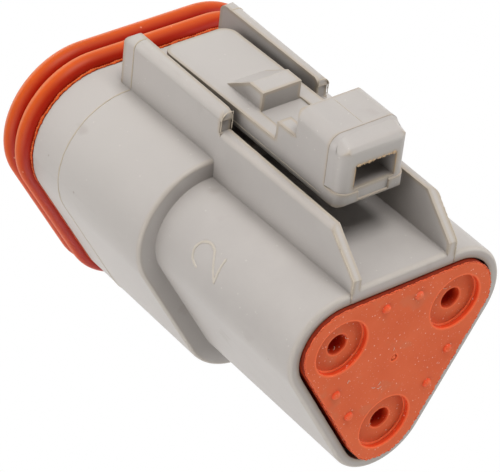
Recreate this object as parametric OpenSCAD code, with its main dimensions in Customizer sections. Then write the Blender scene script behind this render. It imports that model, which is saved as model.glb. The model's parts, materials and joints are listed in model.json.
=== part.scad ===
// Sealed three-way plug connector: a triangular housing whose every outline is the contact triangle grown outwards
// Z = 0 is the mating face, +Z points to the wires, and the latch faces -Y
// The modules are drawn with the latch towards +Y, and faced() gives the half turn at the end

/* [Contact layout] */
// Distance between neighbouring contact centres
pitch = 11.3; // [10.8:0.1:12.6]

/* [Housing] */
// Length of the nose that carries the interface seal
nose_len = 4.2; // [3.9:0.1:6]
// Nose surface, measured outwards from the contact triangle
nose_r = 5.5; // [5.2:0.05:5.8]
// Height of the lip that keeps the interface seal on the nose
lip_h = 0.25; // [0.1:0.05:0.4]
// Length of that lip
lip_len = 0.3; // [0.2:0.05:0.5]
// Wall of the nose around the wedge lock
nose_wall = 1.2; // [0.9:0.05:1.4]
// Length of the wide front body, from the shoulder to the step
front_len = 14.95; // [14:0.05:17]
// Front body surface, measured outwards from the contact triangle
front_r = 6.4; // [6.2:0.05:6.8]
// Rounding of the step edge
step_round = 0.3; // [0.1:0.05:0.8]
// Rounding of the shoulder edge
shoulder_round = 0.25; // [0.1:0.05:0.5]
// Length of the slim rear body, from the step to the wire end
rear_len = 17.35; // [16.5:0.05:20]
// Rear body surface, measured outwards from the contact triangle
rear_r = 4.75; // [4.5:0.05:5.2]
// Wall around the wire seal
rear_wall = 0.9; // [0.7:0.05:1.1]
// Rounding of the rim at the wire end
rim_round = 0.35; // [0.1:0.05:0.4]
// Depth of the wire seal's pocket
pocket_depth = 9.6; // [8:0.1:11]
// Depth of the wedge lock's pocket, from the mating face
wedge_depth = 13; // [12:0.1:14]

/* [Rails beside the latch] */
// Space between the rails at their front end
rail_gap_front = 8.3; // [8:0.05:8.8]
// Space between the rails at the wire end
rail_gap_rear = 8.62; // [8.3:0.02:9]
// Thickness of a rail at its front end
rail_t_front = 1.3; // [1.1:0.05:1.5]
// Thickness of a rail at the wire end
rail_t_rear = 0.78; // [0.6:0.02:1]
// Setback of the rails' front end from the shoulder
rail_setback = 2.45; // [1.5:0.05:4]
// Height of the rails' high part above the deck
rail_high = 5.9; // [5.4:0.05:6.4]
// Height of the rails' low part above the deck
rail_low = 4.1; // [3.6:0.05:4.5]
// Height at which the rails end at the wire end, above the deck
rail_tail = 0.9; // [0.3:0.05:1.5]
// Length of the slope at the rails' rear end
rail_slope = 3.25; // [2:0.05:5]
// How far the high part runs past the step
rail_past_step = 0.35; // [0:0.05:2]
// Rounding of the high part's outer edge and of its ends
rail_round = 0.7; // [0.3:0.05:0.9]
// Rounding of the low part's outer edge
rail_low_round = 0.45; // [0.2:0.05:0.6]
// Setback of the high part's rear face under its rounded end
rail_shut = 0.15; // [0.05:0.05:0.3]

/* [Deck under the latch] */
// Rise of the deck above the rear body's flat side
deck_rise = 0.3; // [0.1:0.05:0.6]

/* [Latch arm] */
// Setback of the arm's front edge from the shoulder
arm_setback = 4.65; // [4:0.05:5]
// Length of the arm
arm_len = 22.85; // [22:0.05:24.5]
// Width of the arm
arm_w = 6.7; // [6.2:0.05:7]
// Free space between the deck and the arm
arm_gap = 3.3; // [3:0.05:3.8]
// Thickness of the arm at its front edge
arm_t = 1.9; // [1.6:0.05:2.3]
// How much higher the arm's top is at the side blocks than at its front edge
arm_rise = 0.35; // [0:0.05:0.6]
// Rounding of the arm's lower edges
arm_round = 0.8; // [0.4:0.05:1]
// Rounding of the arm's front corners, seen from above
arm_corner = 1.15; // [0.5:0.05:2]
// Rise of the underside at the thumb end
heel_rise = 0.6; // [0.2:0.05:1]
// Length of that rise
heel_len = 4; // [2:0.1:5]

/* [Latch tooth] */
// Distance from the arm's front edge to the tooth's locking face
tooth_at = 11.23; // [10.5:0.05:12]
// Height of the tooth above the arm
tooth_h = 1.85; // [1.4:0.05:2]
// Width of the tooth
tooth_w = 3.8; // [3:0.05:3.95]
// Length of the tooth's flat top
tooth_len = 1.75; // [1:0.05:2.5]
// Length of the tooth's ramp
ramp_len = 2.75; // [2:0.05:4]

/* [Thumb pad] */
// Height of the pad above the arm's front top
pad_h = 4.4; // [3.8:0.05:5]
// Length of the pad
pad_len = 6; // [5:0.05:7]
// Rounding of the pad's upper side edges
pad_round = 1.1; // [0.5:0.05:1.4]
// Rounding of the pad's upright rear edges
pad_corner = 1; // [0.5:0.05:1.2]
// Rounding of the pad's upper rear edge
pad_back_round = 0.9; // [0.3:0.05:1.1]
// Rounding of the pad's upper front edge
pad_front_round = 0.2; // [0.1:0.05:0.5]
// Rounding of the pad's upright front edges
pad_front_corner = 0.6; // [0.3:0.05:1]
// Length of the pad behind its parting line
pad_tail = 1.8; // [1.5:0.05:2.4]
// Fall of the pad's top behind the parting line, in degrees
pad_fall = 16; // [5:1:25]
// How much narrower each side is behind the parting line
pad_inset = 0.15; // [0.05:0.05:0.3]
// How much lower the pad's top is behind the parting line
pad_step = 0.08; // [0.02:0.02:0.2]
// Height of the side blocks in front of the pad, above the arm's front top
block_h = 2; // [1.2:0.05:2.1]
// Length of the side blocks in front of the pad
block_len = 1.95; // [1:0.05:3]
// Width of the tunnel through the pad
tunnel_w = 4; // [3:0.05:4.4]
// Height of the tunnel's roof above the arm's front top
tunnel_h = 2.3; // [2.2:0.05:2.6]
// Height of the tunnel's floor above the arm's front top
tunnel_floor = 0.12; // [0.05:0.01:0.2]
// How far the lip under the window stands out
lip_out = 0.12; // [0.05:0.01:0.25]
// Depth of the recess in that lip
recess_depth = 0.15; // [0.05:0.05:0.3]
// Width of the recess in that lip
recess_w = 2.96; // [2:0.02:3.8]

/* [Latch root] */
// Radius of the rounded root that the arm bends about
root_r = 1.25; // [1:0.05:1.35]
// Width of the root
root_w = 5.8; // [4:0.1:6.2]
// Gap around the root
root_gap = 0.05; // [0.03:0.01:0.08]

/* [Interface seal] */
// Thickness of the seal between its ribs and the nose
seal_base = 0.8; // [0.6:0.05:1]
// Radius of each half-round rib
rib_r = 0.87; // [0.7:0.01:0.9]

/* [Wire seal] */
// How far the seal's face stands out of the rim
seal_proud = 0.42; // [0.2:0.02:0.8]
// Gap between the seal's face and the rim
seal_gap = 0.2; // [0.1:0.05:0.35]
// Depth of the seal's waist between its ribs
seal_waist = 0.25; // [0.1:0.05:0.4]
// Diameter of the wire holes
wire_d = 1.9; // [1.5:0.05:2.4]
// Diameter of the round recess in front of each wire hole
funnel_d = 5; // [4:0.05:5.6]
// Depth of that recess
funnel_depth = 0.6; // [0.3:0.05:1]
// Length of each narrow stretch of a wire hole
throat_len = 1.6; // [1:0.1:2]
// Width of the narrow ledge at the bottom of that recess
funnel_ledge = 0.12; // [0.05:0.01:0.3]
// Diameter of the chambers between the narrow stretches
chamber_d = 3; // [2.6:0.1:3.4]
// Radius of the small domes on the seal's face
dome_r = 0.4; // [0.25:0.05:0.5]
// Distance between the two domes of a pair
dome_gap = 3.28; // [2.8:0.02:3.6]
// How far the domes' middles lie inside the edge of the pocket
dome_inset = 1.58; // [1:0.02:2]
// Diameter of the mark at the middle of the seal's face
gate_d = 0.62; // [0.4:0.02:1.2]
// Depth of that mark
gate_depth = 0.2; // [0.1:0.05:0.4]

/* [Wedge lock] */
// Thickness of the wedge lock's face plate
plate_t = 2; // [1.5:0.1:2.4]
// Setback of the plate from the mating face
plate_setback = 0.4; // [0.2:0.05:0.6]
// Diameter of the pin holes in the plate
guide_d = 2.3; // [2:0.05:2.4]
// Length of the post behind the plate
post_len = 8.6; // [8:0.1:9.4]
// Height of the snap rib round the plate
snap_h = 0.07; // [0.03:0.01:0.08]

/* [Socket contacts] */
// Diameter of the hole that takes the mating pin
socket_d = 1.6; // [1.4:0.02:1.8]
// Depth of that hole
socket_depth = 7; // [5:0.1:8]
// Outer diameter of the socket barrel
barrel_d = 2.6; // [2.4:0.05:2.8]
// Wall of the spring hood
hood_t = 0.14; // [0.1:0.02:0.16]
// Length of the spring hood
hood_len = 5.4; // [4:0.1:5.6]
// Diameter of the retention collar
collar_d = 3.3; // [3.1:0.05:3.4]
// Diameter of the contact's body
body_d = 2.8; // [2.6:0.05:2.9]
// Diameter of the seating flange
flange_d = 3.8; // [3.6:0.05:3.9]
// Diameter of the wire hole in the crimp barrel
crimp_bore = 2; // [1.6:0.05:2.2]
// Length of the crimp barrel
crimp_len = 7.4; // [6:0.1:8]

/* [Contact cavities] */
// Diameter of a cavity behind the seating shoulder
cavity_d = 4; // [3.95:0.05:4.3]
// Diameter of a cavity in front of the seating shoulder
cavity_front_d = 3.5; // [3.45:0.05:3.55]
// Distance from the wedge lock's pocket to the seating shoulder
shoulder_depth = 3; // [2:0.1:4]
// Thickness of a lock finger
finger_t = 1; // [0.8:0.05:1.1]
// Width of a lock finger
finger_w = 2.4; // [1.8:0.1:2.8]

/* [Hidden] */
$fn = 72;

grey = [0.72, 0.70, 0.68];
orange = [0.88, 0.33, 0.13];
terracotta = [0.76, 0.33, 0.20];
amber = [0.85, 0.45, 0.15];
nickel = [0.75, 0.74, 0.70];
steel = [0.66, 0.67, 0.68];

run_gap = 0.05;                         // between pieces that slide into each other
snug = 0.02;                            // between a rubber rib and its wall
lap = 1;                                // how far joined shapes reach into each other

ring_r = pitch / sqrt(3);               // circle through the contact centres
side_h = ring_r / 2;                    // from the axis to a side of the contact triangle
z_shoulder = nose_len;
z_step = z_shoulder + front_len;
z_rear = z_step + rear_len;
z_pocket = z_rear - pocket_depth;
pocket_r = rear_r - rear_wall;
nose_in = nose_r - nose_wall;

deck = side_h + rear_r + deck_rise;     // height of the deck above the axis
z_rail = z_shoulder + rail_setback;
z_high = z_step + rail_past_step;
rail_lean = atan((rail_gap_front / 2 + rail_t_front - rail_gap_rear / 2 - rail_t_rear) / (z_rear - z_rail));

z_arm = z_shoulder + arm_setback;
z_end = z_arm + arm_len;
z_pad = z_end - pad_len;
z_part = z_end - pad_tail;
z_block = z_pad - block_len;
z_tooth = z_arm + tooth_at;
under = deck + arm_gap;                 // height of the arm's underside
arm_top = under + arm_t;                // height of its top at the front edge
hinge_h = under - 0.25 * root_r;
hinge_z = z_arm + root_r;

z_plate = plate_setback + plate_t;
z_contact = z_plate + 0.3;              // the contacts start just behind the plate
z_collar = z_contact + hood_len + 0.1;
collar_len = 1;
z_seat = wedge_depth + shoulder_depth;
flange_len = 1;
finger_r = ring_r - collar_d / 2 - 0.15; // outer face of a lock finger, from the axis
seal_out = pocket_r - snug;

function contact_angle(i) = 30 + 120 * i;
function contact_at(i) = ring_r * [cos(contact_angle(i)), sin(contact_angle(i)), 0];
function heading(a) = [cos(a), sin(a)];
shrink = 100;                           // see around_contacts
core_r = 0.75 * pocket_r;

module faced() rotate([0, 0, 180]) children();

// A solid whose section at each height is the contact triangle grown by the profile: x is the growth and y the height
// It is drawn a hundred times smaller and scaled back, which keeps the flats and the corners meeting exactly
// Each corner and each flat meet on a plane, and the core reaches across those planes
module around_contacts(z0, z1) scale(shrink) {
    for (i = [0 : 2]) translate(contact_at(i) / shrink) {
        rotate_extrude(angle = 120, start = contact_angle(i) - 60) scale(1 / shrink) children();
        rotate(120 * i) translate([-pitch / shrink, 0, 0]) rotate([90, 0, 90]) linear_extrude(pitch / shrink)
            scale(1 / shrink) children();
    }
    translate([0, 0, z0 / shrink]) linear_extrude((z1 - z0) / shrink)
        polygon([for (i = [0 : 2], s = [-50, 50])
                 (ring_r * heading(contact_angle(i)) + core_r * heading(contact_angle(i) + s)) / shrink]);
}

// A rectangle from the origin whose far upper corner is rounded
module rounded_end(w, h, r) {
    square([w, h - r]);
    square([w - r, h]);
    translate([w - r, h - r]) circle(r);
}

// What a rounded corner takes off a square one, in the first quadrant
module corner_cut(r) difference() {
    square(r + lap);
    circle(r);
}

// Extrudes a profile drawn as height and Z across the part, centred on X = 0
module across(w) translate([-w / 2, 0, 0]) rotate([90, 0, 90]) linear_extrude(w) children();

// Extrudes a profile drawn as X and Z from height h0 to height h1
module upwards(h0, h1) translate([0, h1, 0]) rotate([90, 0, 0]) linear_extrude(h1 - h0) children();

module shell_profile() {
    square([nose_r, z_shoulder + lap]);
    square([nose_r + lip_h, lip_len]);
    translate([0, z_step - lap]) rounded_end(rear_r, rear_len + lap, rim_round);
    translate([0, z_shoulder]) difference() {
        rounded_end(front_r, front_len, step_round);
        translate([front_r - shoulder_round, shoulder_round]) rotate(-90) corner_cut(shoulder_round);
    }
}

module rail_profile() {
    top = deck + rail_high;
    low = deck + rail_low;
    difference() {
        polygon([[side_h, z_rail], [top, z_rail], [top, z_high], [top - rail_round, z_high],
                 [top - rail_round, z_high - rail_shut], [low, z_high - rail_shut], [low, z_rear - rail_slope],
                 [deck + rail_tail, z_rear], [side_h, z_rear]]);
        translate([top - rail_round, z_high - rail_round]) corner_cut(rail_round);
        translate([top - rail_round, z_rail + rail_round]) rotate(-90) corner_cut(rail_round);
    }
}

// Rounds the rail's outer edge at height h, from z0 to z1, along the rail's lean
module rail_edge(h, r, z0, z1) {
    x0 = rail_gap_front / 2 + rail_t_front - (z0 - z_rail) * tan(rail_lean);
    translate([x0, h, z0]) rotate([0, -rail_lean, 0]) translate([-r, -r, 0])
        linear_extrude((z1 - z0) / cos(rail_lean) + lap) corner_cut(r);
}

module rail() difference() {
    intersection() {
        across(2 * front_r + pitch) rail_profile();
        upwards(0, deck + rail_high + lap)
            polygon([[rail_gap_front / 2, z_rail], [rail_gap_front / 2 + rail_t_front, z_rail],
                     [rail_gap_rear / 2 + rail_t_rear, z_rear], [rail_gap_rear / 2, z_rear]]);
    }
    rail_edge(deck + rail_high, rail_round, z_rail - lap, z_high - lap);
    rail_edge(deck + rail_low, rail_low_round, z_high, z_rear);
}

module deck_block() translate([-rail_gap_rear / 2 - rail_t_rear / 2, 0, z_step - lap]) difference() {
    cube([rail_gap_rear + rail_t_rear, deck, rear_len + lap]);
    translate([-lap, deck - rim_round, rear_len + lap - rim_round]) rotate([90, 0, 90])
        linear_extrude(rail_gap_rear + rail_t_rear + 2 * lap) corner_cut(rim_round);
}

// The web that the latch bends on, with its rounded seat
module root_web() difference() {
    translate([-root_w / 2, side_h + front_r - lap, z_arm])
        cube([root_w, hinge_h - 0.55 * root_r - side_h - front_r + lap, 2 * root_r + 0.4]);
    translate([-root_w, hinge_h, hinge_z]) rotate([0, 90, 0]) cylinder(h = 2 * root_w, r = root_r + root_gap);
}

// A finger that springs behind each contact's collar, and the wedge lock's post keeps it there
module lock_finger() {
    tip = z_collar + collar_len + run_gap;
    translate([finger_r - finger_t, -finger_w / 2, tip]) cube([finger_t, finger_w, wedge_depth + lap - tip]);
    translate([finger_r - lap / 2, -finger_w / 2, tip])
        cube([lap / 2 + ring_r - body_d / 2 - run_gap - finger_r, finger_w, 0.9]);
}

module housing() color(grey) faced() {
    difference() {
        union() {
            around_contacts(0, z_rear) shell_profile();
            rail();
            mirror([1, 0, 0]) rail();
            deck_block();
            root_web();
        }
        around_contacts(z_pocket, z_rear + lap) translate([0, z_pocket]) square([pocket_r, pocket_depth + lap]);
        around_contacts(-lap, wedge_depth) translate([0, -lap]) square([nose_in, wedge_depth + lap]);
        for (i = [0 : 2]) translate(contact_at(i)) {
            translate([0, 0, wedge_depth - lap]) cylinder(h = z_pocket - wedge_depth + 2 * lap, d = cavity_front_d);
            translate([0, 0, z_seat]) cylinder(h = z_pocket - z_seat + lap, d = cavity_d);
        }
    }
    for (i = [0 : 2]) rotate([0, 0, contact_angle(i)]) lock_finger();
}

module arm_profile() {
    top_z = z_end - pad_back_round;                     // centre of the pad's rear rounding
    tail_h = arm_top + pad_h - pad_step;
    top_h = tail_h - (top_z - z_part) * tan(pad_fall) - pad_back_round / cos(pad_fall);
    difference() {
        polygon([[under, z_arm], [arm_top, z_arm], [arm_top + arm_rise, z_block], [arm_top + block_h, z_block],
                 [arm_top + block_h, z_pad], [arm_top + pad_h, z_pad], [arm_top + pad_h, z_part], [tail_h, z_part],
                 [top_h + pad_back_round * cos(pad_fall), top_z + pad_back_round * sin(pad_fall)],
                 [top_h, top_z], [top_h, z_end + lip_out], [under + heel_rise, z_end + lip_out],
                 [under, z_end - heel_len]]);
        translate([arm_top + pad_h - pad_front_round, z_pad + pad_front_round]) rotate(-90)
            corner_cut(pad_front_round);
        translate([under + heel_rise + arm_round / 2, z_end + lip_out - arm_round / 2]) rotate(90)
            corner_cut(arm_round / 2);
    }
    translate([top_h, top_z]) circle(pad_back_round);
}

module arm_section() difference() {
    translate([-arm_w / 2, under]) square([arm_w, arm_top + pad_h - under]);
    for (s = [0, 1]) mirror([s, 0]) {
        translate([arm_w / 2 - pad_round, arm_top + pad_h - pad_round]) corner_cut(pad_round);
        translate([arm_w / 2 - arm_round, under + arm_round]) rotate(-90) corner_cut(arm_round);
    }
}

// Seen from above: the arm with its front corners rounded, as long as z1
module arm_plan(z1) difference() {
    translate([-arm_w / 2, z_arm]) square([arm_w, z1 - z_arm]);
    for (s = [0, 1]) mirror([s, 0]) translate([arm_w / 2 - arm_corner, z_arm + arm_corner]) rotate(-90)
        corner_cut(arm_corner);
}

// The plan of the thumb end, w wide and with upright edges rounded by r
module tail_plan(w, z0, z1, r) {
    translate([-w / 2, z0]) square([w, z1 - r - z0]);
    translate([r - w / 2, z0]) square([w - 2 * r, z1 - z0]);
    for (s = [-1, 1]) translate([s * (w / 2 - r), z1 - r]) circle(r);
}

// Rounds the upper side edges behind the parting line, along the fall of the top
module tail_edges() intersection() {
    for (s = [0, 1]) mirror([s, 0, 0])
        translate([arm_w / 2 - pad_inset, arm_top + pad_h - pad_step, z_part]) rotate([pad_fall, 0, 0])
            translate([-pad_round, -pad_round, -lap]) linear_extrude(2 * pad_tail + lap) corner_cut(pad_round);
    translate([-arm_w, arm_top, z_part]) cube([2 * arm_w, 2 * pad_h, 2 * pad_tail]);
}

module latch_arm() color(grey) faced() {
    parting_h = arm_top - 0.12;                         // the mould closes at this height round the thumb end
    difference() {
        union() {
            intersection() {
                across(arm_w + lap) arm_profile();
                linear_extrude(z_rear) arm_section();
                union() {
                    upwards(parting_h - 0.01, arm_top + pad_h + lap) {
                        arm_plan(z_part);
                        tail_plan(arm_w - 2 * pad_inset, z_part - lap, z_end, pad_corner);
                    }
                    upwards(under - lap, parting_h) {
                        arm_plan(z_part);
                        tail_plan(arm_w, z_part - lap, z_end + lip_out, pad_corner + lip_out);
                    }
                }
            }
            across(tooth_w) polygon([[arm_top - arm_t / 2, z_tooth - tooth_len - ramp_len],
                                     [arm_top + arm_rise / 3, z_tooth - tooth_len - ramp_len],
                                     [arm_top + tooth_h, z_tooth - tooth_len], [arm_top + tooth_h, z_tooth],
                                     [arm_top - arm_t / 2, z_tooth]]);
            translate([-root_w / 2, hinge_h, hinge_z]) rotate([0, 90, 0]) cylinder(h = root_w, r = root_r);
        }
        tail_edges();
        upwards(arm_top + block_h, arm_top + pad_h + lap) for (s = [0, 1]) mirror([s, 0])
            translate([arm_w / 2 - pad_front_corner, z_pad + pad_front_corner]) rotate(-90)
                corner_cut(pad_front_corner);
        translate([-tunnel_w / 2, arm_top + tunnel_floor, z_tooth])
            cube([tunnel_w, tunnel_h - tunnel_floor, z_rear - z_tooth]);
        translate([-recess_w / 2, under + heel_rise + arm_round / 2, z_end + lip_out - recess_depth])
            cube([recess_w, arm_top + tunnel_floor - under, lap]);
    }
}

module interface_seal() color(orange) faced() difference() {
    seal_z = lip_len + run_gap;
    seal_len = nose_len - seal_z;
    valley = nose_r + seal_base;
    rib_pitch = 1.95 * rib_r;
    around_contacts(seal_z, z_shoulder) {
        translate([0, seal_z]) square([valley, seal_len]);
        for (s = [-1, 1]) translate([valley, seal_z + (seal_len + s * rib_pitch) / 2]) circle(rib_r);
    }
    around_contacts(seal_z - lap, z_shoulder + lap)
        translate([0, seal_z - lap]) square([nose_r + snug, seal_len + 2 * lap]);
}

module wire_seal_profile() {
    height = pocket_depth + seal_proud;
    rib_len = height / 9;
    translate([0, z_pocket]) {
        square([seal_out - seal_waist, height]);
        for (i = [0 : 2]) translate([0, (2 * i + 1) * rib_len]) square([seal_out, rib_len]);
        translate([0, height - 3 * rib_len]) rounded_end(pocket_r - seal_gap, 3 * rib_len, 0.15);
    }
}

module wire_seal() color(terracotta) faced() {
    face = z_rear + seal_proud;
    dome_at = side_h + pocket_r - dome_inset;
    difference() {
        around_contacts(z_pocket, face) wire_seal_profile();
        for (i = [0 : 2]) translate(contact_at(i)) {
            translate([0, 0, face - 0.75 * funnel_depth]) cylinder(h = lap, d = funnel_d);
            translate([0, 0, face - funnel_depth]) cylinder(h = lap, d = funnel_d - 2 * funnel_ledge);
            translate([0, 0, z_pocket - lap]) cylinder(h = face - z_pocket + lap, d = wire_d);
            for (k = [1, 2]) translate([0, 0, face - funnel_depth - 2 * k * throat_len - 0.4 * (k - 1)])
                cylinder(h = throat_len, d = chamber_d);
        }
        translate([0, 0, face - gate_depth]) cylinder(h = lap, d = gate_d);
    }
    for (i = [0 : 2], s = [-1, 1]) rotate([0, 0, 120 * i])
        translate([s * dome_gap / 2, dome_at, face - 0.2 * dome_r]) sphere(dome_r);
}

module wedge_lock() color(amber) faced() {
    plate_r = nose_in - 0.1;
    post_r = finger_r - finger_t - 0.1;                 // the post's flats face the lock fingers
    difference() {
        around_contacts(plate_setback, z_plate) {
            translate([0, plate_setback]) square([plate_r, plate_t]);
            translate([0, plate_setback + plate_t / 3]) square([plate_r + snap_h, plate_t / 3]);
        }
        for (i = [0 : 2]) translate(contact_at(i)) cylinder(h = z_plate + lap, d = guide_d);
    }
    translate([0, 0, z_plate - lap / 2]) linear_extrude(post_len + lap / 2) intersection() {
        circle(post_r * 1.25);
        polygon([for (i = [0 : 2]) 2 * post_r * [cos(90 + 120 * i), sin(90 + 120 * i)]]);
    }
}

module socket_contact(i) color(nickel) faced() translate(contact_at(i)) {
    crimp_z = z_seat + flange_len;
    difference() {
        rotate_extrude() polygon([[0, z_contact], [barrel_d / 2, z_contact], [barrel_d / 2, z_collar],
                                  [collar_d / 2, z_collar], [collar_d / 2, z_collar + collar_len],
                                  [body_d / 2, z_collar + collar_len], [body_d / 2, z_seat],
                                  [flange_d / 2, z_seat], [flange_d / 2, crimp_z],
                                  [body_d / 2 + 0.1, crimp_z], [body_d / 2 + 0.1, crimp_z + crimp_len],
                                  [0, crimp_z + crimp_len]]);
        translate([0, 0, z_contact - lap]) cylinder(h = socket_depth + lap, d = socket_d);
        translate([0, 0, crimp_z + 1.2]) cylinder(h = crimp_len, d = crimp_bore);
        translate([0, 0, crimp_z + 2]) rotate([0, 90, contact_angle(i)]) cylinder(h = body_d, d = 0.9);
    }
}

module spring_hood(i) color(steel) faced() translate(contact_at(i)) translate([0, 0, z_contact]) difference() {
    cylinder(h = hood_len, d = barrel_d + 2 * (hood_t + snug));
    translate([0, 0, -lap]) cylinder(h = hood_len + 2 * lap, d = barrel_d + 2 * snug);
}

housing();
latch_arm();
interface_seal();
wire_seal();
wedge_lock();
socket_contact(0);  // contact_1
socket_contact(1);  // contact_2
socket_contact(2);  // contact_3
spring_hood(0);  // hood_1
spring_hood(1);  // hood_2
spring_hood(2);  // hood_3
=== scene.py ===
import json
import math

import bpy
import numpy as np
from mathutils import Matrix


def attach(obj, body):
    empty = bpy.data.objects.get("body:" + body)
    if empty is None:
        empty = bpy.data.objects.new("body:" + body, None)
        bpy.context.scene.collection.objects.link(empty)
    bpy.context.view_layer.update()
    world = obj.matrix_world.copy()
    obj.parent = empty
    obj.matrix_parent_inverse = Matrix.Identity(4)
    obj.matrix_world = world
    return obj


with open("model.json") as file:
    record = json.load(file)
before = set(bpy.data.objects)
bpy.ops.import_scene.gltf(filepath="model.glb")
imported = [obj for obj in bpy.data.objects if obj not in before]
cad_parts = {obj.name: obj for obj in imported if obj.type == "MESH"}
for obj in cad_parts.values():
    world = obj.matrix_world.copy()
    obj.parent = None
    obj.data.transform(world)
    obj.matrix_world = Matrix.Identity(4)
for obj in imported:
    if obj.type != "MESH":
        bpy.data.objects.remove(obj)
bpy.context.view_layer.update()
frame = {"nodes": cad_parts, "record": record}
print("stage: frame loaded")


# Steps that the node trees share: arithmetic on a value, with a plain number or with a second value
def mathStep(nodes, links, operation, first, second):
    step = nodes.new("ShaderNodeMath")
    step.operation = operation
    links.new(first, step.inputs[0])
    if isinstance(second, float):
        step.inputs[1].default_value = second
    else:
        links.new(second, step.inputs[1])
    return step.outputs["Value"]


# A share that grows evenly from 0 at the start value to its whole size at the full value
def spreadNode(nodes, links, value, start, full, share=1.0):
    spread = nodes.new("ShaderNodeMapRange")
    spread.inputs["From Min"].default_value = start
    spread.inputs["From Max"].default_value = full
    spread.inputs["To Max"].default_value = share
    links.new(value, spread.inputs["Value"])
    return spread.outputs["Result"]


def heightOf(nodes, links, vector):
    axes = nodes.new("ShaderNodeSeparateXYZ")
    links.new(vector, axes.inputs["Vector"])
    return axes.outputs["Z"]


def newGroup(name):
    group = bpy.data.node_groups.new(name, "GeometryNodeTree")
    group.interface.new_socket("Geometry", in_out="INPUT", socket_type="NodeSocketGeometry")
    group.interface.new_socket("Geometry", in_out="OUTPUT", socket_type="NodeSocketGeometry")
    nodes = group.nodes
    return group, nodes, group.links, nodes.new("NodeGroupInput").outputs[0], nodes.new("NodeGroupOutput").inputs[0]


# Shading of the CAD pieces: their triangles are joined and smoothed, and edges sharper than this stay sharp
smoothing = {"merge": 2e-6, "angleDeg": 24.0}


def smoothGroup(settings):
    group, nodes, links, entry, leave = newGroup("smoothByAngle")
    merge = nodes.new("GeometryNodeMergeByDistance")
    merge.inputs["Distance"].default_value = settings["merge"]
    smooth = nodes.new("GeometryNodeSetShadeSmooth")
    smooth.domain = "FACE"
    smooth.inputs["Shade Smooth"].default_value = True
    edges = nodes.new("GeometryNodeSetShadeSmooth")
    edges.domain = "EDGE"
    edges.inputs["Shade Smooth"].default_value = False
    angle = nodes.new("GeometryNodeInputMeshEdgeAngle")
    compare = nodes.new("FunctionNodeCompare")
    compare.data_type, compare.operation = "FLOAT", "GREATER_THAN"
    compare.inputs["B"].default_value = math.radians(settings["angleDeg"])
    links.new(entry, merge.inputs["Geometry"])
    links.new(merge.outputs["Geometry"], smooth.inputs["Geometry"])
    links.new(smooth.outputs["Geometry"], edges.inputs["Geometry"])
    links.new(angle.outputs["Unsigned Angle"], compare.inputs["A"])
    links.new(compare.outputs["Result"], edges.inputs["Selection"])
    links.new(edges.outputs["Geometry"], leave)
    return group


smoothed = smoothGroup(smoothing)
for node in frame["nodes"].values():
    node.modifiers.new("smoothByAngle", "NODES").node_group = smoothed


# The wire seal's head sits a little off centre in its pocket, towards the latch, and falls short of one flank:
# offset = rise(z) * (shift - flank * inset * reach(x, y))
sealHead = {
    "z": (0.0358, 0.0364), "shift": (0.00008, -0.0001, 0.0),
    "flank": (0.866, 0.5, 0.0), "reach": (0.0062, 0.0069), "inset": 0.00015,
}


def headGroup(settings):
    group, nodes, links, entry, leave = newGroup("sealHead")
    place = nodes.new("GeometryNodeInputPosition").outputs["Position"]
    along, inward, total, offset = (nodes.new("ShaderNodeVectorMath") for _ in range(4))
    along.operation, inward.operation = "DOT_PRODUCT", "SCALE"
    total.operation, offset.operation = "ADD", "SCALE"
    along.inputs[1].default_value = settings["flank"]
    inward.inputs[0].default_value = [-value * settings["inset"] for value in settings["flank"]]
    total.inputs[1].default_value = settings["shift"]
    links.new(place, along.inputs[0])
    rise = spreadNode(nodes, links, heightOf(nodes, links, place), *settings["z"])
    reach = spreadNode(nodes, links, along.outputs["Value"], *settings["reach"])
    links.new(reach, inward.inputs["Scale"])
    links.new(inward.outputs["Vector"], total.inputs[0])
    links.new(total.outputs["Vector"], offset.inputs[0])
    links.new(rise, offset.inputs["Scale"])
    move = nodes.new("GeometryNodeSetPosition")
    links.new(entry, move.inputs["Geometry"])
    links.new(offset.outputs["Vector"], move.inputs["Offset"])
    links.new(move.outputs["Geometry"], leave)
    return group


frame["nodes"]["wire_seal"].modifiers.new("sealHead", "NODES").node_group = headGroup(sealHead)


# Materials
def newMaterial(name):
    material = bpy.data.materials.new(name)
    material.use_nodes = True
    tree = material.node_tree
    return material, tree.nodes, tree.links, tree.nodes["Principled BSDF"]


def noiseNode(nodes, links, coords, scale, detail=2.0, roughness=0.5):
    noise = nodes.new("ShaderNodeTexNoise")
    noise.inputs["Scale"].default_value = scale
    noise.inputs["Detail"].default_value = detail
    noise.inputs["Roughness"].default_value = roughness
    links.new(coords.outputs["Object"], noise.inputs["Vector"])
    return noise


def mixColor(nodes, links, factor, base, tint):
    mix = nodes.new("ShaderNodeMix")
    mix.data_type = "RGBA"
    links.new(factor, mix.inputs["Factor"])
    links.new(base, mix.inputs["A"])
    mix.inputs["B"].default_value = (*tint, 1.0)
    return mix.outputs["Result"]


# Specks: a dot at the point of some of the cells, and the share says how many cells have one
def speckColor(nodes, links, coords, base, layer):
    cells = nodes.new("ShaderNodeTexVoronoi")
    cells.inputs["Scale"].default_value = layer["scale"]
    links.new(coords.outputs["Object"], cells.inputs["Vector"])
    parts = nodes.new("ShaderNodeSeparateColor")
    links.new(cells.outputs["Color"], parts.inputs["Color"])
    near = mathStep(nodes, links, "LESS_THAN", cells.outputs["Distance"], layer["size"])
    chosen = mathStep(nodes, links, "LESS_THAN", parts.outputs["Red"], layer["share"])
    both = mathStep(nodes, links, "MULTIPLY", near, chosen)
    weight = mathStep(nodes, links, "MULTIPLY", both, layer["strength"])
    return mixColor(nodes, links, weight, base, layer["color"])


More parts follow.
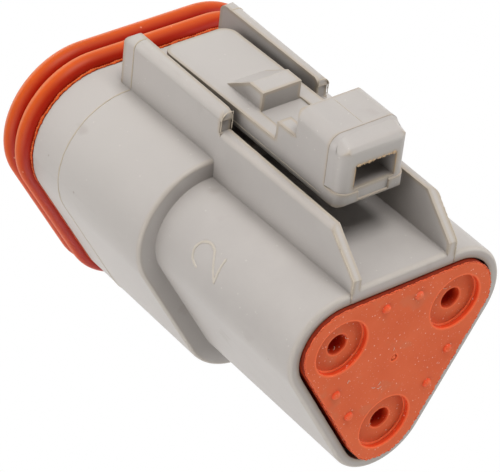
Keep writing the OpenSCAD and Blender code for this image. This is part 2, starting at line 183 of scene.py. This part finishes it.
# A tint for faces by how far they look along the plug's axis: 1 towards the wires, 0 sideways, -1 towards the
# nose. A layer with a zone works only between its two heights
def facingColor(nodes, links, coords, base, layer):
    normal = nodes.new("ShaderNodeNewGeometry").outputs["Normal"]
    facing = heightOf(nodes, links, normal)
    factor = spreadNode(nodes, links, facing, layer["start"], layer["full"], layer["share"])
    if "zone" in layer:
        height = heightOf(nodes, links, coords.outputs["Object"])
        for operation, end in zip(("GREATER_THAN", "LESS_THAN"), layer["zone"]):
            test = mathStep(nodes, links, operation, height, end)
            factor = mathStep(nodes, links, "MULTIPLY", test, factor)
    return mixColor(nodes, links, factor, base, layer["color"])


# Painted light along the plug's length: a tint that grows from the start height to the full height
def paintedLightAlongLength(nodes, links, coords, base, layer):
    height = heightOf(nodes, links, coords.outputs["Object"])
    factor = spreadNode(nodes, links, height, layer["start"], layer["full"])
    return mixColor(nodes, links, factor, base, layer["color"])


# How far a spot lies from other faces: 1 in the open, and lower in a corner, or with inside on, at an outer edge
def cavityNode(nodes, reach, inside):
    cavity = nodes.new("ShaderNodeAmbientOcclusion")
    cavity.samples = 8
    cavity.inside = inside
    cavity.only_local = inside
    cavity.inputs["Distance"].default_value = reach
    return cavity.outputs["AO"]


# Outer edges take a painted highlight tint, and corners and hollows get painted shade, between these two values of the
# cavity
cavityEnds = {"edge": (0.98, 0.75), "hollowShade": (0.82, 0.1)}


def paintedEdgeHighlight(nodes, links, base, look):
    cavity = cavityNode(nodes, look["edgeWidth"], True)
    factor = spreadNode(nodes, links, cavity, *cavityEnds["edge"], look["edgeShare"])
    return mixColor(nodes, links, factor, base, look["edgeHighlightTint"])


def paintedShadeInHollows(nodes, links, base, layer):
    cavity = cavityNode(nodes, layer["reach"], False)
    factor = spreadNode(nodes, links, cavity, *cavityEnds["hollowShade"], layer["share"])
    return mixColor(nodes, links, factor, base, layer["color"])


# Smudges: soft marks where a noise rises over a threshold
smudgeRise = 0.08


def smudgeColor(nodes, links, coords, base, layer):
    noise = noiseNode(nodes, links, coords, layer["scale"])
    start = layer["start"]
    factor = spreadNode(nodes, links, noise.outputs["Fac"], start, start + smudgeRise, layer["share"])
    return mixColor(nodes, links, factor, base, layer["color"])


# Moulded plastic: a soft mottle in colour, small pale and dark specks, and a fine grain in the surface
moulded = {
    "mottleDetail": 4.0, "grainDetail": 3.0, "noiseRoughness": 0.6, "mottleEnds": (0.3, 0.7),
    "glowRadius": (1.0, 0.25, 0.1), "glowScale": 6e-4, "edgeSamples": 6,
}


def plasticMaterial(name, look):
    material, nodes, links, shader = newMaterial(name)
    coords = nodes.new("ShaderNodeTexCoord")
    mottle = noiseNode(nodes, links, coords, look["mottleScale"], moulded["mottleDetail"], moulded["noiseRoughness"])
    ramp = nodes.new("ShaderNodeValToRGB")
    for stop, place, tint in zip(ramp.color_ramp.elements, moulded["mottleEnds"], (look["low"], look["high"])):
        stop.position = place
        stop.color = (*tint, 1.0)
    links.new(mottle.outputs["Fac"], ramp.inputs["Fac"])
    color = ramp.outputs["Color"]
    for layer in look["facing"]:
        color = facingColor(nodes, links, coords, color, layer)
    for layer in look["length"]:
        color = paintedLightAlongLength(nodes, links, coords, color, layer)
    for layer in look["smudges"]:
        color = smudgeColor(nodes, links, coords, color, layer)
    for layer in look["specks"]:
        color = speckColor(nodes, links, coords, color, layer)
    for layer in look["paintedHollowShade"]:
        color = paintedShadeInHollows(nodes, links, color, layer)
    if look["edgeShare"] > 0:
        color = paintedEdgeHighlight(nodes, links, color, look)
    links.new(color, shader.inputs["Base Color"])
    shader.inputs["Roughness"].default_value = look["roughness"]
    shader.inputs["Specular IOR Level"].default_value = look["specular"]
    shader.inputs["Subsurface Weight"].default_value = look["glow"]
    shader.inputs["Subsurface Radius"].default_value = moulded["glowRadius"]
    shader.inputs["Subsurface Scale"].default_value = moulded["glowScale"]
    grain = noiseNode(nodes, links, coords, look["grainScale"], moulded["grainDetail"], moulded["noiseRoughness"])
    bevel = nodes.new("ShaderNodeBevel")
    bevel.samples = moulded["edgeSamples"]
    bevel.inputs["Radius"].default_value = look["edge"]
    bump = nodes.new("ShaderNodeBump")
    bump.inputs["Strength"].default_value = look["grainStrength"]
    bump.inputs["Distance"].default_value = look["grainDepth"]
    links.new(bevel.outputs["Normal"], bump.inputs["Normal"])
    links.new(grain.outputs["Fac"], bump.inputs["Height"])
    links.new(bump.outputs["Normal"], shader.inputs["Normal"])
    return material


housingLook = {
    "low": (0.348, 0.323, 0.304), "high": (0.376, 0.349, 0.328), "mottleScale": 180.0,
    "roughness": 0.48, "specular": 0.36, "grainScale": 4200.0, "grainStrength": 0.25, "grainDepth": 2e-5,
    "edge": 1.2e-4, "glow": 0.0,
    # Painted light: faces that look towards the wires are lighter near the rim
    "facing": [{"start": 0.4, "full": 0.8, "share": 1.0, "color": (0.42, 0.39, 0.365), "zone": (0.031, 0.04)}],
    # Painted light: lighter towards the nose
    "length": [{"start": 0.024, "full": 0.008, "color": (0.405, 0.378, 0.355)}],
    # Painted highlight: a warm tint on outer edges
    "edgeHighlightTint": (0.355, 0.285, 0.2), "edgeShare": 0.55, "edgeWidth": 4e-4,
    "smudges": [{"scale": 330.0, "start": 0.69, "share": 0.2, "color": (0.2, 0.16, 0.13)}],
    # Painted shade: darker in corners and hollows
    "paintedHollowShade": [{"reach": 4e-3, "share": 0.65, "color": (0.13, 0.11, 0.095)}],
    "specks": [
        {"scale": 1300.0, "size": 0.08, "share": 0.4, "strength": 0.3, "color": (0.62, 0.58, 0.54)},
        {"scale": 500.0, "size": 0.06, "share": 0.25, "strength": 0.35, "color": (0.16, 0.12, 0.09)},
    ],
}
interfaceLook = {
    "low": (0.49, 0.070, 0.007), "high": (0.55, 0.082, 0.009), "mottleScale": 150.0,
    "roughness": 0.42, "specular": 0.14, "grainScale": 3000.0, "grainStrength": 0.15, "grainDepth": 2e-5,
    "edge": 6e-5, "glow": 0.15, "edgeHighlightTint": (0.6, 0.1, 0.03), "edgeShare": 0.0, "smudges": [], "paintedHollowShade": [],
    "length": [],
    # Painted shade on faces that look towards the wires, and painted light from behind on faces that look towards the
    # nose
    "facing": [
        {"start": 0.1, "full": 0.8, "share": 1.0, "color": (0.30, 0.010, 0.001)},
        {"start": 0.0, "full": -0.4, "share": 0.9, "color": (0.66, 0.2, 0.09)},
    ],
    "specks": [{"scale": 900.0, "size": 0.09, "share": 0.25, "strength": 0.5, "color": (0.6, 0.3, 0.2)}],
}
wireLook = {
    "low": (0.59, 0.102, 0.036), "high": (0.66, 0.130, 0.050), "mottleScale": 220.0,
    "roughness": 0.55, "specular": 0.13, "grainScale": 5000.0, "grainStrength": 0.4, "grainDepth": 2e-5,
    # Painted highlight: an orange glow on outer edges
    "edge": 6e-5, "glow": 0.1, "edgeHighlightTint": (0.8, 0.15, 0.055), "edgeShare": 0.8, "edgeWidth": 2e-4,
    "smudges": [{"scale": 420.0, "start": 0.62, "share": 0.3, "color": (0.5, 0.16, 0.08)}],
    # Painted shade: darker in the corners of the recesses and round the domes
    "paintedHollowShade": [{"reach": 6e-4, "share": 0.5, "color": (0.24, 0.016, 0.004)}], "length": [],
    "facing": [{"start": 0.97, "full": 0.5, "share": 1.0, "color": (0.60, 0.054, 0.013)}],
    "specks": [
        {"scale": 2000.0, "size": 0.12, "share": 0.8, "strength": 0.6, "color": (0.78, 0.5, 0.4)},
        {"scale": 3600.0, "size": 0.16, "share": 0.8, "strength": 0.35, "color": (0.72, 0.38, 0.27)},
    ],
}
# The wedge keeps the orange seal's painted shade and painted light by facing
wedgeLook = dict(interfaceLook, low=(0.66, 0.2, 0.035), high=(0.7, 0.22, 0.045), roughness=0.45)
looks = {
    "housing_plastic": plasticMaterial("housingPlastic", housingLook),
    "interface_rubber": plasticMaterial("interfaceRubber", interfaceLook),
    "wire_rubber": plasticMaterial("wireRubber", wireLook),
    "wedge_plastic": plasticMaterial("wedgePlastic", wedgeLook),
}


def metalMaterial(name, color, roughness):
    material, nodes, links, shader = newMaterial(name)
    shader.inputs["Base Color"].default_value = (*color, 1.0)
    shader.inputs["Metallic"].default_value = 1.0
    shader.inputs["Roughness"].default_value = roughness
    return material


looks["contact_metal"] = metalMaterial("contactMetal", (0.72, 0.69, 0.62), 0.3)
looks["hood_steel"] = metalMaterial("hoodSteel", (0.62, 0.62, 0.63), 0.35)

# The latch is the housing's plastic with painted shade: darker on the tooth's upright face and a little on the pad's
# rear
latchShadedLook = dict(housingLook, facing=[
    {"start": 0.7, "full": 0.95, "share": 1.0, "color": (0.24, 0.222, 0.205), "zone": (0.0195, 0.021)},
    {"start": 0.7, "full": 0.95, "share": 1.0, "color": (0.385, 0.36, 0.337), "zone": (0.031, 0.033)},
])
looks["latch_plastic_painted_shade"] = plasticMaterial("latchPlasticPaintedShade", latchShadedLook)
slots = {row["node"]: row["material_slot"] for row in frame["record"]["subparts"]}
slots["latch_arm"] = "latch_plastic_painted_shade"
for name, node in frame["nodes"].items():
    node.data.materials.clear()
    node.data.materials.append(looks[slots[name]])
print("stage: materials set")

mm = 0.001

# The plug's plan in mm: the three contact axes, the way that each corner looks, and the distance between two axes
plan = {
    "corners": np.array([(-5.65, -3.262), (5.65, -3.262), (0.0, 6.524)]),
    "turns": np.radians([210, 330, 450]), "side": 11.3,
}


# Outline round the plug at growth r: t counts thirds of a turn, and each third is a corner arc and then a flat.
# point = corner (1 - h) + next corner h + r (cos a, sin a), where a is the outward direction
def outline(t, r):
    third = np.floor(t).astype(int) % 3
    part = t - np.floor(t)
    arc = r * 2 * np.pi / 3
    share = arc / (arc + plan["side"])
    a = plan["turns"][third] + (np.clip(part / share, 0, 1) - 0.5) * 2 * np.pi / 3
    h = np.clip((part - share) / (1 - share), 0, 1)[:, None]
    out = np.stack([np.cos(a), np.sin(a)], axis=1)
    return plan["corners"][third] * (1 - h) + plan["corners"][(third + 1) % 3] * h + r * out, out


def unit(v):
    return v / np.linalg.norm(v, axis=-1, keepdims=True)


# Flat points or directions, with one height added to all of them
def atHeight(flat, z):
    return np.column_stack([flat, np.full(len(flat), z)])


# Angles over a quarter turn, in even steps
def quarterTurn(count):
    return np.linspace(0, np.pi / 2, count)


# Slow and quick waves make a line ragged, and it thins to a point at both ends
ragged = {"rates": (2.1, 5.3, 13.0, 29.0), "share": 0.25, "least": 0.05, "taper": 2.0, "tip": 0.02}


# A thin raised line along a path, in mm: point = path + across w cos u + out h sin u
def ridge(path, out, width, height, rough=0.0, seed=1, sides=8):
    count = len(path)
    out = unit(np.broadcast_to(np.asarray(out, float), path.shape))
    across = unit(np.cross(out, np.gradient(path, axis=0)))
    rng = np.random.default_rng(seed)
    run = np.concatenate([[0.0], np.cumsum(np.linalg.norm(np.diff(path, axis=0), axis=1))])
    wave = sum(np.sin(run * rate + rng.uniform(0, 6.28)) * ragged["share"] for rate in ragged["rates"])
    path = path + across * (width * min(rough, 1.0) * wave[::-1])[:, None]
    size = np.clip(1.0 + rough * wave, ragged["least"], None)
    fromEnd = np.minimum(np.arange(count), np.arange(count)[::-1])
    size = size * np.clip(fromEnd / ragged["taper"], ragged["tip"], 1.0)
    u = np.linspace(0, 2 * np.pi, sides, endpoint=False)
    wide = (width * size)[:, None, None] * np.cos(u)[None, :, None] * across[:, None, :]
    tall = (height * size)[:, None, None] * np.sin(u)[None, :, None] * out[:, None, :]
    return (path[:, None, :] + wide + tall) * mm


# Straight stretches through the given corners, with even steps
def through(corners, step=0.12):
    corners = np.asarray(corners, float)
    runs = [
        a + (b - a) * np.linspace(0, 1, max(2, int(np.linalg.norm(b - a) / step)), endpoint=False)[:, None]
        for a, b in zip(corners[:-1], corners[1:])
    ]
    return np.concatenate(runs + [corners[-1:]])


def addObject(name, data):
    thing = bpy.data.objects.new(name, data)
    bpy.context.scene.collection.objects.link(thing)
    return thing


# A piece from grids of points: each row is a ring, rings are joined side by side, and a cap closes each end.
# Where the volume inside comes out negative, the faces are turned, so that all point outwards
def addPiece(name, grids, material, body, creased=False):
    spots, faces, base = [], [], 0
    for grid in grids:
        rows, cols = grid.shape[:2]
        index = base + np.arange(rows * cols).reshape(rows, cols)
        ahead = np.roll(index, -1, axis=1)
        rings = np.stack([index[:-1], ahead[:-1], ahead[1:], index[1:]], axis=-1).reshape(-1, 4)
        a, b, c, d = (grid.reshape(-1, 3)[rings[:, k] - base] - grid.mean(axis=(0, 1)) for k in range(4))
        volume = (a * (np.cross(b, c) + np.cross(c, d))).sum()
        turn = 1 if volume > 0 else -1
        faces += [row[::turn] for row in rings.tolist() + [index[0, ::-1].tolist(), index[-1].tolist()]]
        spots.append(grid.reshape(-1, 3))
        base += rows * cols
    mesh = bpy.data.meshes.new(name)
    mesh.from_pydata(np.concatenate(spots).tolist(), [], faces)
    mesh.polygons.foreach_set("use_smooth", [True] * len(mesh.polygons))
    mesh.materials.append(material)
    piece = addObject(name, mesh)
    if creased:
        piece.modifiers.new("smoothByAngle", "NODES").node_group = smoothed
    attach(piece, body)


plain = {"edge": 2e-5, "edgeShare": 0.0, "specks": [], "smudges": [], "paintedHollowShade": [], "facing": [], "length": []}
flashLook = dict(housingLook, **plain, low=(0.38, 0.325, 0.25), high=(0.42, 0.36, 0.285), grainStrength=0.0)
grooveLook = dict(flashLook, low=(0.22, 0.18, 0.145), high=(0.26, 0.215, 0.175))
strokeLook = dict(flashLook, low=(0.40, 0.355, 0.30), high=(0.44, 0.395, 0.34))
burntLook = dict(flashLook, low=(0.34, 0.23, 0.13), high=(0.40, 0.29, 0.17))
rubberFlashLook = dict(wireLook, **plain, low=(0.50, 0.07, 0.025), high=(0.6, 0.12, 0.05))
shadeLook = dict(wireLook, **plain, low=(0.16, 0.013, 0.004), high=(0.2, 0.018, 0.005))
looks["flash"] = plasticMaterial("plasticFlash", flashLook)
looks["plain_plastic"] = plasticMaterial("plainPlastic", dict(housingLook, **plain))
looks["burnt_flash"] = plasticMaterial("burntFlash", burntLook)
looks["stroke"] = plasticMaterial("numberStroke", strokeLook)
looks["groove"] = plasticMaterial("partingGroove", grooveLook)
looks["rubber_flash"] = plasticMaterial("rubberFlash", rubberFlashLook)
looks["rubber_shade"] = plasticMaterial("rubberShade", shadeLook)

# Sizes from here on are in mm, and a line entry holds half a ridge's width, its height and how ragged it is.
# Parting line of the mould: round the front body between the rails, and over both rails
parting = {"z": 8.0, "r": 6.4, "ends": (0.9918, 3.5507), "points": 700, "line": (0.06, 0.045, 0.35), "seed": 3}
railLine = {
    "face": 5.434, "inner": 4.17, "foot": 9.66, "top": 14.212, "round": 0.7, "join": 0.05,
    "core": (4.0, -12.0), "line": (0.07, 0.06, 0.3), "seed": 5,
}
spot, out = outline(np.linspace(*parting["ends"], parting["points"]), parting["r"])
lines = [ridge(atHeight(spot, parting["z"]), atHeight(out, 0.0), *parting["line"], parting["seed"])]
bend = quarterTurn(9)
cornerX = railLine["face"] - railLine["round"] + railLine["round"] * np.cos(bend)
cornerY = railLine["top"] - railLine["round"] + railLine["round"] * np.sin(bend)
climb = through([(railLine["face"], -railLine["foot"]), (railLine["face"], -cornerY[0] + railLine["join"])])
over = through([(cornerX[-1] - railLine["join"], -railLine["top"]), (railLine["inner"], -railLine["top"])])
section = np.concatenate([climb, np.column_stack([cornerX, -cornerY]), over])
for side in (1, -1):
    path = atHeight(section * (side, 1), parting["z"])
    core = np.array((railLine["core"][0] * side, railLine["core"][1], parting["z"]))
    lines.append(ridge(path, path - core, *railLine["line"], railLine["seed"]))
addPiece("parting_line", lines, looks["flash"], "plug")
print("stage: parting line")

# Flash on the rails' sloping rear ends and on over the rim to the edge of the pocket, and round their step
railEnd = {
    "x": (5.13, 5.09), "y": (-12.1, -9.212, -7.13), "z": (33.5, 36.5),
    "slope": (0.5, -0.65, 0.75), "flat": (0.2, 0.0, 1.0), "line": (0.05, 0.06, 0.7), "seeds": {1: 11, -1: 12},
}
railStep = {
    "z": 19.5, "x": (5.28, 4.22), "y": (-12.45, -14.19), "round": 0.66,
    "line": (0.035, 0.05, 0.6), "seeds": {1: 13, -1: 14},
}
lines = []
for side, seed in railEnd["seeds"].items():
    (xFoot, xRim), (yFoot, yRim, yPocket), (zFoot, zRim) = railEnd["x"], railEnd["y"], railEnd["z"]
    path = through([(side * xFoot, yFoot, zFoot), (side * xRim, yRim, zRim), (side * xRim, yPocket, zRim)])
    slope, flat = (np.array(railEnd[key]) * (side, 1, 1) for key in ("slope", "flat"))
    out = np.where((path[:, 1] < yRim)[:, None], slope, flat)
    lines.append(ridge(path, out, *railEnd["line"], seed))
(xOuter, xInner), (yLow, yTop) = railStep["x"], railStep["y"]
bend, r = quarterTurn(10), railStep["round"]
corner = np.column_stack([xOuter - r * (1 - np.cos(bend)), yTop + r * (1 - np.sin(bend))])
section = through([(xOuter, yLow), *corner, (xInner, yTop), (xInner, yLow)])
for side, seed in railStep["seeds"].items():
    lines.append(ridge(atHeight(section * (side, 1), railStep["z"]), (0, 0, 1), *railStep["line"], seed))
addPiece("rail_flash", lines, looks["flash"], "plug")

# Mould lines on the latch: along each side of the arm, and along the pad's top
armLine = {"x": 3.35, "y": -12.45, "z": (18.0, 29.6), "line": (0.035, 0.02, 0.5), "seed": 21}
topLine = {"x": (0.0, 0.03), "y": -17.912, "z": (25.95, 29.8), "line": (0.03, 0.008, 0.5), "seed": 23}
lines = []
for side in (1, -1):
    path = through([(side * armLine["x"], armLine["y"], z) for z in armLine["z"]])
    lines.append(ridge(path, (side, 0, 0), *armLine["line"], armLine["seed"]))
path = through([(x, topLine["y"], z) for x, z in zip(topLine["x"], topLine["z"])])
lines.append(ridge(path, (0, -1, 0), *topLine["line"], topLine["seed"]))
addPiece("latch_mould_lines", lines, looks["flash"], "latch")

# The pad's parting line: up one side, over the rounded top and down the other side
pad = {
    "x": 3.35, "y": (-13.45, -17.912), "z": 29.9, "round": 1.1, "line": (0.03, 0.012, 0.5), "seed": 24,
}
bend, r = quarterTurn(10), pad["round"]
corner = np.column_stack([pad["x"] - r * (1 - np.cos(bend)), pad["y"][1] + r * (1 - np.sin(bend))])
half = np.concatenate([[(pad["x"], pad["y"][0])], corner])
path = through(np.concatenate([half, half[::-1] * (-1, 1)]))
tangent = unit(np.gradient(path, axis=0))
out = np.column_stack([-tangent[:, 1], tangent[:, 0]])
groove = ridge(atHeight(path, pad["z"]), atHeight(out, 0.0), *pad["line"], pad["seed"])
addPiece("pad_parting_line", [groove], looks["groove"], "latch")

# The pad's thumb end is a little narrower, and a soft ramp leads down to it. With s from 0 at a side to 1 on top,
# depth = side + more s + corner s^2 (1 - s^2) and length = side - less s, and both stretch one profile
padRamp = {
    "depth": {"side": 0.155, "more": 0.015, "corner": 0.4}, "length": {"side": 0.7, "less": 0.4},
    "profile": [(0.0, -0.04), (0.004, 0.0), (-0.5, 0.5), (-1.03, 1.0), (-1.3, 0.5), (-1.0, -0.04)],
}
s = np.abs(out[:, 1:2])
depth = padRamp["depth"]["side"] + padRamp["depth"]["more"] * s + padRamp["depth"]["corner"] * s**2 * (1 - s**2)
length = padRamp["length"]["side"] - padRamp["length"]["less"] * s
ramp = np.stack([
    np.concatenate([path + a * depth * out, pad["z"] + b * length], axis=1) for a, b in padRamp["profile"]
], axis=1)
addPiece("pad_ramp", [ramp * mm], looks["plain_plastic"], "latch", creased=True)

# Burnt flash round the window in the pad: a ragged lip on top, and a thin one down each side
window = {
    "x": 2.0, "y": (-15.812, -13.75), "z": 31.69, "fineStep": 0.05,
    "lip": (0.05, 0.075, 1.2), "lipSeed": 31, "line": (0.04, 0.04, 0.5), "seeds": {1: 34, -1: 32},
}
path = through([(side * window["x"], window["y"][0], window["z"]) for side in (1, -1)], window["fineStep"])
lines = [ridge(path, (0, 1, 0.3), *window["lip"], window["lipSeed"])]
for side, seed in window["seeds"].items():
    path = through([(side * window["x"], y, window["z"]) for y in window["y"]])
    lines.append(ridge(path, (-side, 0, 0.5), *window["line"], seed))
addPiece("window_flash", lines, looks["burnt_flash"], "latch")

# A plain raised number on the flank, drawn as one thin stroke: a bowl, then straight down to a foot
number = {
    "angle": -14.0, "z": 26.5, "width": 2.3, "height": 3.2, "r": 4.75, "corner": 1,
    "bowl": np.radians(np.linspace(175, -38, 26)), "line": (0.12, 0.07, 0.3), "seed": 41,
}
half = number["width"] / 2
bowl = np.column_stack([half + half * np.cos(number["bowl"]), number["height"] - half + half * np.sin(number["bowl"])])
stroke = through([*bowl, (0.0, 0.0), (number["width"], 0.0)])
a = math.radians(number["angle"]) - stroke[:, 0] / number["r"]
out = atHeight(np.column_stack([np.cos(a), np.sin(a)]), 0.0)
path = np.append(plan["corners"][number["corner"]], 0.0) + number["r"] * out
path[:, 2] = number["z"] - stroke[:, 1]
addPiece("raised_number", [ridge(path, out, *number["line"], number["seed"])], looks["stroke"], "plug")
print("stage: flash and number")


# The wire seal's outline at growth r, moved as its head is: point = outline + shift - flank * inset * reach
def headOutline(points, r):
    spot, out = outline(np.linspace(0, 3, points), r)
    flank, (start, full) = np.array(sealHead["flank"][:2]), sealHead["reach"]
    reach = np.clip((spot @ flank * mm - start) / (full - start), 0, 1)[:, None]
    return spot + (np.array(sealHead["shift"][:2]) - reach * sealHead["inset"] * flank) / mm, out


# Edges of both seals: a ragged rim on the wire seal, a thin dark strip round its side as painted shade, and a ragged
# edge behind the orange ribs
sealRim = {"r": 3.62, "z": 36.89, "points": 1400, "lean": 0.8, "line": (0.035, 0.05, 1.9), "seed": 51}
sealSide = {"r": 3.65, "z": 36.63, "points": 400, "line": (0.19, 0.012, 0.3), "seed": 53}
bandEdge = {"r": 6.4, "z": 4.18, "points": 900, "line": (0.13, 0.035, 0.8), "seed": 52}
spot, out = headOutline(sealRim["points"], sealRim["r"])
rim = ridge(atHeight(spot, sealRim["z"]), atHeight(out, sealRim["lean"]), *sealRim["line"], sealRim["seed"])
addPiece("wire_seal_flash", [rim], looks["rubber_flash"], "plug")
# A thin dark strip round the seal's side, painted shade
spot, out = headOutline(sealSide["points"], sealSide["r"])
shade = ridge(atHeight(spot, sealSide["z"]), atHeight(out, 0.0), *sealSide["line"], sealSide["seed"])
addPiece("wire_seal_painted_shade_strip", [shade], looks["rubber_shade"], "plug")
spot, out = outline(np.linspace(0, 3, bandEdge["points"]), bandEdge["r"])
edge = ridge(atHeight(spot, bandEdge["z"]), atHeight(out, 0.0), *bandEdge["line"], bandEdge["seed"])
addPiece("interface_seal_flash", [edge], looks["interface_rubber"], "plug")

# Lint on the wire seal: short curved fibres, each an arc that lies flat, at its place on the face or in a recess.
# Each has its x, y and z, the direction it starts in, how fast it turns, and its length
lint = {
    "radius": 0.018, "rough": 0.2, "points": 12, "sides": 5, "color": (0.62, 0.48, 0.38),
    "fibres": [
        (-5.1, -4.6, 36.36, 0.4, -1.1, 1.5), (1.45, 2.35, 36.94, 2.0, 2.4, 0.5), (1.6, 2.2, 36.94, 0.5, -2.0, 0.45),
        (1.35, 2.1, 36.94, 3.6, 1.5, 0.35), (5.0, -3.9, 36.36, 1.2, 2.6, 0.5), (6.1, -3.4, 36.36, 2.6, -2.2, 0.45),
        (0.9, 6.6, 36.36, 0.3, 2.0, 0.4), (0.3, -0.9, 36.94, 4.2, 1.2, 0.35), (4.6, 0.6, 36.94, 5.1, -1.8, 0.4),
    ],
}
fibres = []
for seed, (x, y, z, start, turnRate, length) in enumerate(lint["fibres"]):
    s = np.linspace(0, length, lint["points"])
    heading = start + turnRate * s
    path = atHeight(np.column_stack([x + s * np.cos(heading), y + s * np.sin(heading)]), z)
    fibres.append(ridge(path, (0, 0, 1), lint["radius"], lint["radius"], lint["rough"], seed, lint["sides"]))
lintLook = dict(wireLook, **plain, low=lint["color"], high=lint["color"], glow=0.0)
addPiece("lint", fibres, plasticMaterial("lintFibre", lintLook), "plug")

# The nub in the middle of the mark: a low dome, height = tall (1 - (r / radius)^4)
nub = {"radius": 0.3, "tall": 0.18, "z": 36.72, "place": (0.08, -0.1), "pole": 0.001, "rings": 8, "sides": 20}
r, a = np.meshgrid(
    np.linspace(nub["radius"], nub["pole"], nub["rings"]),
    np.linspace(0, 2 * np.pi, nub["sides"], endpoint=False), indexing="ij",
)
dome = np.stack([
    nub["place"][0] + r * np.cos(a),
    nub["place"][1] + r * np.sin(a),
    nub["z"] + nub["tall"] * (1 - (r / nub["radius"]) ** 4),
], axis=-1)
addPiece("gate_nub", [dome * mm], looks["wire_rubber"], "plug")
print("stage: seals and lint")

scene = bpy.context.scene

# Camera: its place and its three directions were fitted to the photograph
cameraPlace = {
    "location": (0.128525, -0.146626, 0.165518),
    "right": (-0.794242, -0.093210, 0.600409),
    "up": (-0.304864, -0.793639, -0.526493),
    "back": (0.525583, -0.601206, 0.601925),
    "lens": 216.81, "sensor": 36.0, "clip": (0.01, 5.0),
}
cameraData = bpy.data.cameras.new("camera")
cameraData.lens = cameraPlace["lens"]
cameraData.sensor_width = cameraPlace["sensor"]
cameraData.clip_start, cameraData.clip_end = cameraPlace["clip"]
camera = addObject("camera", cameraData)
turn = Matrix((cameraPlace["right"], cameraPlace["up"], cameraPlace["back"])).transposed()
camera.matrix_world = Matrix.Translation(cameraPlace["location"]) @ turn.to_4x4()
scene.camera = camera

# Lights: large soft squares round the plug, each with its place, its side length and its power
lightPlan = {
    "latchLight": ((0.0, -0.445, 0.0848), 0.28, 2.33),
    "flankLight": ((0.4142, 0.1243, 0.1423), 0.28, 0.90),
    "lowLight": ((0.1364, 0.3637, 0.2453), 0.28, 0.93),
    "sideLight": ((0.4061, -0.1827, 0.0789), 0.2, 0.46),
    "rearLight": ((-0.3728, -0.0414, 0.2665), 0.28, 1.24),
}
plugMiddle = (0.0, 0.0, 0.018)


def areaLight(name, spot, size, power):
    data = bpy.data.lights.new(name, "AREA")
    data.shape = "SQUARE"
    data.size = size
    data.energy = power
    light = addObject(name, data)
    light.location = spot
    away = unit(np.array(spot) - np.array(plugMiddle))
    side = unit(np.cross((0.0, 0.0, 1.0), away))
    rise = np.cross(away, side)
    light.rotation_euler = Matrix((side, rise, away)).transposed().to_euler()


for name, (spot, size, power) in lightPlan.items():
    areaLight(name, spot, size, power)


# 1 for a ray that the camera, a shine or a clear piece looks along, and 0 for light on its way to a matt surface
def lookingRay(nodes, links):
    kinds = nodes.new("ShaderNodeLightPath").outputs
    shineOrCamera = mathStep(nodes, links, "MAXIMUM", kinds["Is Camera Ray"], kinds["Is Glossy Ray"])
    return mathStep(nodes, links, "MAXIMUM", shineOrCamera, kinds["Is Transmission Ray"])


# The surround gives a low even light, and looks white
surroundFill = 0.106
world = bpy.data.worlds.new("surround")
world.use_nodes = True
scene.world = world
nodes, links = world.node_tree.nodes, world.node_tree.links
surround = nodes["Background"]
surround.inputs["Color"].default_value = (1.0, 1.0, 1.0, 1.0)
strength = nodes.new("ShaderNodeMapRange")
strength.inputs["To Min"].default_value = surroundFill
links.new(lookingRay(nodes, links), strength.inputs["Value"])
links.new(strength.outputs["Result"], surround.inputs["Strength"])

# Floor: it looks plain white, and the light it throws back is a little less. It lies a hair under the plug
floorPlan = {"reach": 1.5, "level": -2e-5, "color": (0.85, 0.85, 0.85), "roughness": 0.9}
reach, level = floorPlan["reach"], floorPlan["level"]
floorMesh = bpy.data.meshes.new("floor")
floorMesh.from_pydata(
    [(-reach, -reach, level), (reach, -reach, level), (reach, reach, level), (-reach, reach, level)], [], [(0, 1, 2, 3)]
)
floor = addObject("floor", floorMesh)
floorMaterial, nodes, links, shader = newMaterial("floorWhite")
shader.inputs["Base Color"].default_value = (*floorPlan["color"], 1.0)
shader.inputs["Roughness"].default_value = floorPlan["roughness"]
shine = nodes.new("ShaderNodeEmission")
shine.inputs["Color"].default_value = (1.0, 1.0, 1.0, 1.0)
shine.inputs["Strength"].default_value = 1.0
mix = nodes.new("ShaderNodeMixShader")
links.new(lookingRay(nodes, links), mix.inputs["Fac"])
links.new(shader.outputs["BSDF"], mix.inputs[1])
links.new(shine.outputs["Emission"], mix.inputs[2])
links.new(mix.outputs["Shader"], nodes["Material Output"].inputs["Surface"])
floorMesh.materials.append(floorMaterial)

scene.view_settings.view_transform = "Standard"
print("stage: lights set")
